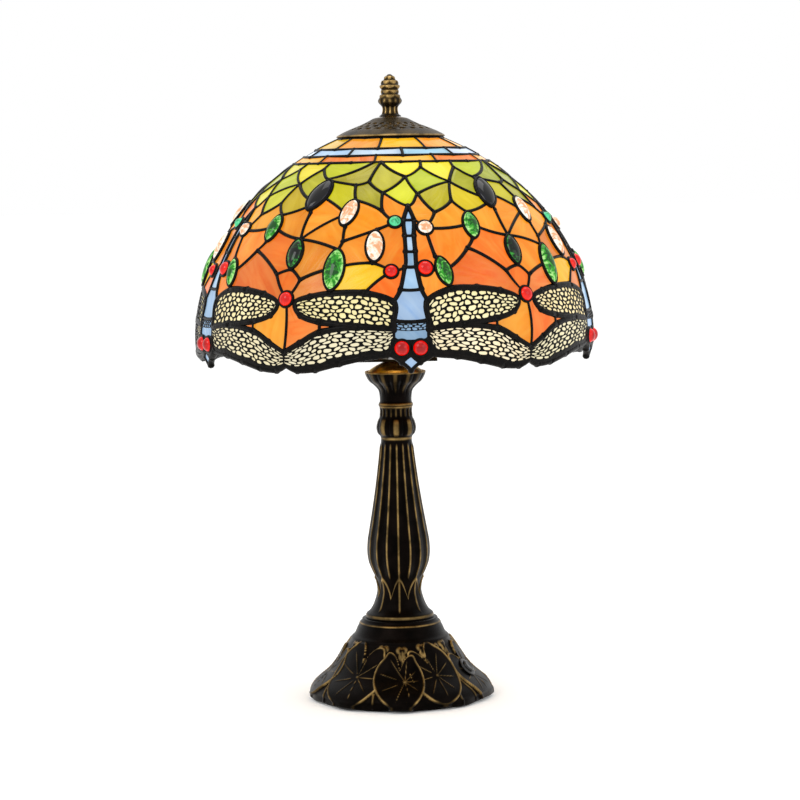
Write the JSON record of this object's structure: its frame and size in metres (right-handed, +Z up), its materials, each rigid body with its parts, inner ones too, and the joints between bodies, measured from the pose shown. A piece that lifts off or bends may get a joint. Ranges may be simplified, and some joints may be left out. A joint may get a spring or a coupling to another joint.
{
  "type": "table lamp",
  "caption": "Table lamp with a leaded coloured-glass dragonfly dome shade on a harp, cast lily-pad base, fluted column and push switch.",
  "frame": {"origin": "centre of the felt pad's underside, on the table", "axes": "+Z up the lamp's axis, -Y towards the front, with one dragonfly just right of the front, +X to the right, towards the switch"},
  "size_m": [0.307, 0.3098, 0.479],
  "materials": {
    "felt": "napped",
    "steel": "zinc plated",
    "bronze": "antique bronze, rubbed gold on raised edges",
    "brass": "aged",
    "black_plastic": "gloss",
    "liner": "pressed card",
    "porcelain": "glazed",
    "wire_cover": "smooth",
    "bulb_glass": "frosted",
    "bulb_metal": "plain",
    "solder": "black patina",
    "border_glass": "streaked opalescent",
    "blue_glass": "opalescent",
    "canopy_glass": "streaked opalescent",
    "field_glass": "streaked opalescent",
    "wing_glass": "opalescent",
    "body_glass": "opalescent",
    "red_jewel": "polished cabochon",
    "green_jewel": "polished cabochon",
    "pearl_jewel": "polished cabochon",
    "dark_jewel": "polished cabochon"
  },
  "bodies": {
    "lamp": {"felt_pad": "felt", "bottom_plate": "steel", "base_casting": "bronze", "cord_bushing": "black_plastic", "switch_housing": "black_plastic", "rod_washer": "steel", "rod_nut": "steel", "threaded_rod": "steel", "column_casting": "bronze", "cup_casting": "bronze", "cup_cover": "brass", "harp_saddle": "bronze", "lock_nut": "steel", "harp": "bronze", "harp_stud": "brass", "socket_cap": "bronze", "socket_shell": "bronze", "socket_liner": "liner", "socket_block": "porcelain", "screw_shell": "brass", "centre_contact": "brass", "terminal_screws": "brass", "lead_wires": "wire_cover"},
    "shade": {"shade_spider": "brass", "vase_cap": "bronze", "lead_came": "solder", "top_border_panes": "border_glass", "blue_border_panes": "blue_glass", "lower_border_panes": "border_glass", "canopy_panes": "canopy_glass", "field_panes": "field_glass", "cove_panes": "field_glass", "upper_wing_panes": "wing_glass", "lower_wing_panes": "wing_glass", "wing_filigree": "solder", "tail_panes": "body_glass", "thorax_panes": "body_glass", "nose_panes": "body_glass", "eye_jewels": "red_jewel", "red_jewels": "red_jewel", "green_jewels": "green_jewel", "pearl_jewels": "pearl_jewel", "dark_jewels": "dark_jewel"},
    "finial": {"finial": "bronze"},
    "bulb": {"bulb_glass": "bulb_glass", "bulb_cap": "bulb_metal", "bulb_insulator": "black_plastic", "bulb_tip": "steel"},
    "button": {"switch_button": "black_plastic"},
    "sleeve_left": {"harp_sleeve_left": "brass"},
    "sleeve_right": {"harp_sleeve_right": "brass"}
  },
  "joints": [
    {"name": "shade_turn", "type": "hinge", "parent": "lamp", "child": "shade", "pos_m": [0, 0, 0.438], "axis": [0, 0, 1], "continuous": true},
    {"name": "finial_turn", "type": "hinge", "parent": "lamp", "child": "finial", "pos_m": [0, 0, 0.45], "axis": [0, 0, 1], "continuous": true},
    {"name": "bulb_turn", "type": "hinge", "parent": "lamp", "child": "bulb", "pos_m": [0, 0, 0.3], "axis": [0, 0, 1], "continuous": true},
    {"name": "button_press", "type": "slide", "parent": "lamp", "child": "button", "axis": [-0.6983, 0.2542, -0.6691], "range_m": [0, 0.002], "stiffness_N_per_m": 800, "springref_m": -0.0005},
    {"name": "sleeve_left_lift", "type": "slide", "parent": "lamp", "child": "sleeve_left", "axis": [0, 0, 1], "range_m": [0, 0.01]},
    {"name": "sleeve_right_lift", "type": "slide", "parent": "lamp", "child": "sleeve_right", "axis": [0, 0, 1], "range_m": [0, 0.01]}
  ]
}
